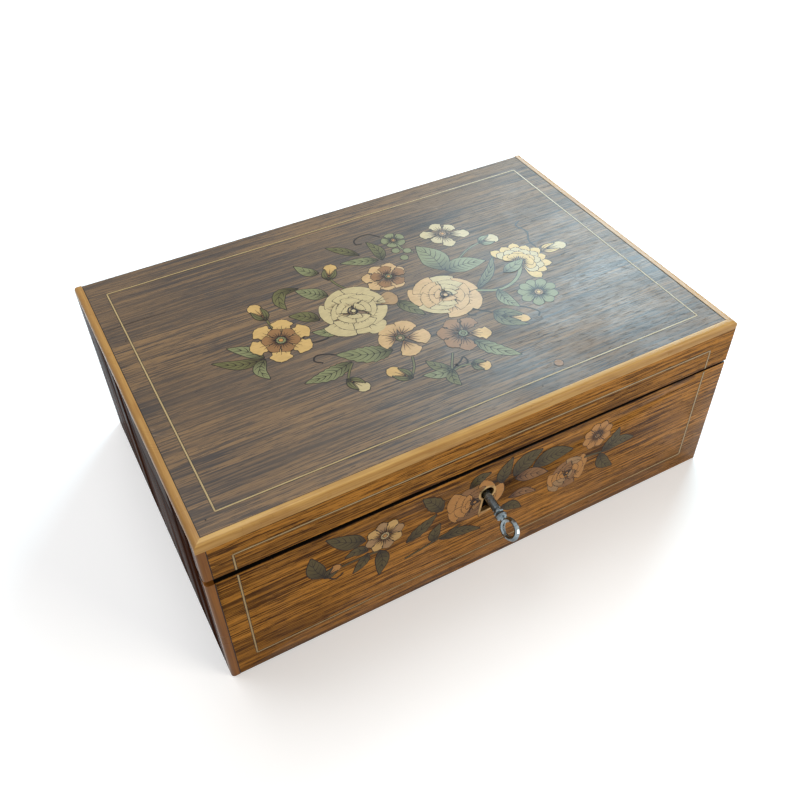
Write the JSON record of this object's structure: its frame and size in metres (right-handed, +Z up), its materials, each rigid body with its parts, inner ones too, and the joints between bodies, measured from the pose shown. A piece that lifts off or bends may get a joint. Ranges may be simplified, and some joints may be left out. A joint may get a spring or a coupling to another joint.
{
  "type": "wind up music box",
  "caption": "Flat rectangular veneered music box with a hinged floral marquetry lid, a lock with its key, and a key-wound cylinder movement under a glass cover.",
  "frame": {"origin": "centre of the case's underside", "axes": "+X to the right across the front, +Y from the front to the back, +Z up"},
  "size_m": [0.28, 0.2198, 0.1],
  "materials": {
    "rosewood_veneer": "old french polish, glossy",
    "boxwood": "polished honey boxwood",
    "carcass_wood": "plain pine, stained",
    "brass": "old lacquered brass",
    "steel": "polished and blued steel",
    "glass": "clear window glass"
  },
  "bodies": {
    "case": {"back_board": "rosewood_veneer", "bedplate": "brass", "bottom_board": "carcass_wood", "case_corner_edging": "boxwood", "click_spring": "steel", "comb": "steel", "comb_base": "brass", "comb_screw_left": "steel", "comb_screw_middle": "steel", "comb_screw_right": "steel", "cylinder_cock": "brass", "front_board": "rosewood_veneer", "glass_ledge_left": "carcass_wood", "glass_ledge_right": "carcass_wood", "governor_frame": "brass", "hinge_left_case_leaf": "brass", "hinge_left_pin": "steel", "hinge_right_case_leaf": "brass", "hinge_right_pin": "steel", "inner_barrel_bridge": "brass", "keyhole_escutcheon": "brass", "left_bearer": "carcass_wood", "left_board": "rosewood_veneer", "left_partition": "carcass_wood", "lock_case": "brass", "outer_barrel_bridge": "brass", "right_bearer": "carcass_wood", "right_board": "rosewood_veneer", "right_partition": "carcass_wood"},
    "lid": {"lid_panel": "rosewood_veneer", "lid_front_rail": "rosewood_veneer", "lid_back_rail": "rosewood_veneer", "lid_left_rail": "rosewood_veneer", "lid_right_rail": "rosewood_veneer", "lid_front_edging": "boxwood", "lid_left_edging": "boxwood", "lid_right_edging": "boxwood", "lid_corner_edging": "boxwood", "lock_strike": "brass", "hinge_left_lid_leaf": "brass", "hinge_right_lid_leaf": "brass"},
    "lock_key": {"lock_key": "steel"},
    "lock_bolt": {"lock_bolt": "steel"},
    "cylinder": {"cylinder": "brass", "cylinder_arbor": "steel", "cylinder_pinion": "steel", "cylinder_wheel": "brass"},
    "spring_barrel": {"spring_barrel": "brass", "great_wheel": "brass", "mainspring": "steel"},
    "winding_arbor": {"winding_arbor": "steel", "ratchet_wheel": "steel"},
    "winding_key": {"winding_key": "steel"},
    "click": {"click": "steel"},
    "governor_arbor": {"governor_pinion": "steel", "governor_wheel": "brass"},
    "governor_worm": {"governor_worm": "steel", "governor_fly": "brass"},
    "stop_lever": {"stop_lever": "brass"},
    "glass_cover": {"glass_cover": "glass"}
  },
  "joints": [
    {"name": "lid_hinge", "type": "hinge", "parent": "case", "child": "lid", "pos_m": [0, 0.0965, 0.07365], "axis": [-1, 0, 0], "range_deg": [0, 100]},
    {"name": "lock_key_turn", "type": "hinge", "parent": "case", "child": "lock_key", "pos_m": [-0.003, -0.0955, 0.0514], "axis": [0, 0.9816, 0.1908], "range_deg": [-30.01, 150.01]},
    {"name": "lock_bolt_slide", "type": "slide", "parent": "case", "child": "lock_bolt", "axis": [1, 0, 0], "range_m": [-0.00075, 0.00375]},
    {"name": "cylinder_turn", "type": "hinge", "parent": "case", "child": "cylinder", "pos_m": [0, -0.002, 0.0463], "axis": [1, 0, 0], "continuous": true},
    {"name": "spring_barrel_turn", "type": "hinge", "parent": "case", "child": "spring_barrel", "pos_m": [0, 0.024, 0.0463], "axis": [1, 0, 0], "continuous": true},
    {"name": "governor_arbor_turn", "type": "hinge", "parent": "case", "child": "governor_arbor", "pos_m": [0, 0.017, 0.0463], "axis": [1, 0, 0], "continuous": true},
    {"name": "governor_worm_turn", "type": "hinge", "parent": "case", "child": "governor_worm", "pos_m": [0.0765, 0.029, 0.0463], "axis": [0, 0, 1], "continuous": true},
    {"name": "winding_turn", "type": "hinge", "parent": "case", "child": "winding_arbor", "pos_m": [0, 0.024, 0.0463], "axis": [-1, 0, 0], "range_deg": [0, 1800]},
    {"name": "winding_key_slide", "type": "slide", "parent": "winding_arbor", "child": "winding_key", "axis": [-1, 0, 0], "range_m": [0, 0.012]},
    {"name": "click_lift", "type": "hinge", "parent": "case", "child": "click", "pos_m": [-0.0791, 0.0325, 0.0588], "axis": [-1, 0, 0], "range_deg": [0, 4], "stiffness_Nm_per_rad": 0.002},
    {"name": "stop_lever_turn", "type": "hinge", "parent": "case", "child": "stop_lever", "pos_m": [0.0836, 0.002, 0.0228], "axis": [0, 0, -1], "range_deg": [0, 5]},
    {"name": "glass_cover_lift", "type": "slide", "parent": "case", "child": "glass_cover", "axis": [0, 0, 1], "range_m": [0, 0.015]}
  ],
  "couplings": [
    {"joint": "lock_key_turn", "follows": "lock_bolt_slide", "rad_per_m": 698.13},
    {"joint": "spring_barrel_turn", "follows": "cylinder_turn", "ratio": -0.3},
    {"joint": "governor_arbor_turn", "follows": "cylinder_turn", "ratio": -5.3333},
    {"joint": "governor_worm_turn", "follows": "cylinder_turn", "ratio": 213.33}
  ]
}
